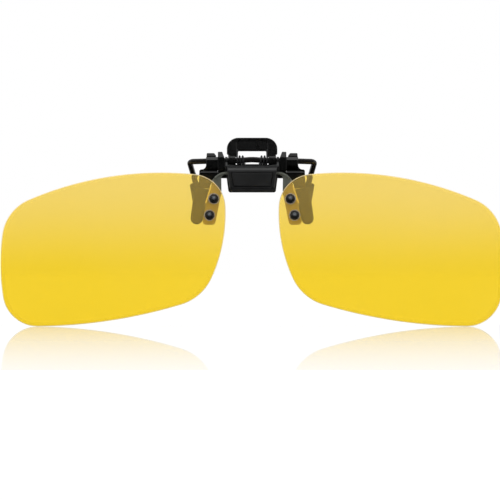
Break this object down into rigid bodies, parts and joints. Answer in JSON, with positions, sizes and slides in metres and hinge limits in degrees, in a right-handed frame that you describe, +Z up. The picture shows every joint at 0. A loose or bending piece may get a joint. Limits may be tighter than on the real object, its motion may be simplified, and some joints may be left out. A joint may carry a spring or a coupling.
{
  "type": "clip-on flip-up spectacle lenses",
  "caption": "Yellow lenses on a flip-up hinge, carried by a sprung two-jaw clamp that grips spectacle lenses beside the bridge.",
  "frame": {"origin": "middle of the grip: midway between the left and right jaw tips and between the front and rear sleeves, 12.5 mm below the hinge axis", "axes": "+X to the right as seen from in front, +Y back towards the wearer, +Z up"},
  "size_m": [0.1346, 0.0139, 0.0506],
  "materials": {
    "black_moulding": "satin",
    "black_steel": "satin",
    "rivet_steel": "gloss",
    "sleeve_rubber": "matte",
    "yellow_lens": "gloss",
    "clear_nylon": "satin"
  },
  "bodies": {
    "clamp": {"front_jaw": "black_moulding", "left_front_sleeve": "sleeve_rubber", "right_front_sleeve": "sleeve_rubber", "left_torsion_spring": "black_steel", "right_torsion_spring": "black_steel"},
    "rear_jaw": {"rear_wire": "black_steel", "left_rear_sleeve": "sleeve_rubber", "right_rear_sleeve": "sleeve_rubber", "squeeze_lever": "black_moulding"},
    "flip_frame": {"hinge_housing": "black_moulding", "housing_cover": "black_moulding", "left_bracket": "black_steel", "right_bracket": "black_steel", "left_lens": "yellow_lens", "right_lens": "yellow_lens", "left_upper_rivet": "rivet_steel", "left_lower_rivet": "rivet_steel", "right_upper_rivet": "rivet_steel", "right_lower_rivet": "rivet_steel", "left_upper_washer": "clear_nylon", "left_lower_washer": "clear_nylon", "right_upper_washer": "clear_nylon", "right_lower_washer": "clear_nylon"}
  },
  "joints": [
    {"name": "jaw_pinch", "type": "hinge", "parent": "clamp", "child": "rear_jaw", "pos_m": [0, 0, 0.0125], "axis": [1, 0, 0], "range_deg": [0, 22], "stiffness_Nm_per_rad": 0.02, "springref_deg": -34.38, "deforming": ["left_torsion_spring", "right_torsion_spring"]},
    {"name": "flip_hinge", "type": "hinge", "parent": "clamp", "child": "flip_frame", "pos_m": [0, 0, 0.0125], "axis": [-1, 0, 0], "range_deg": [0, 90]}
  ]
}
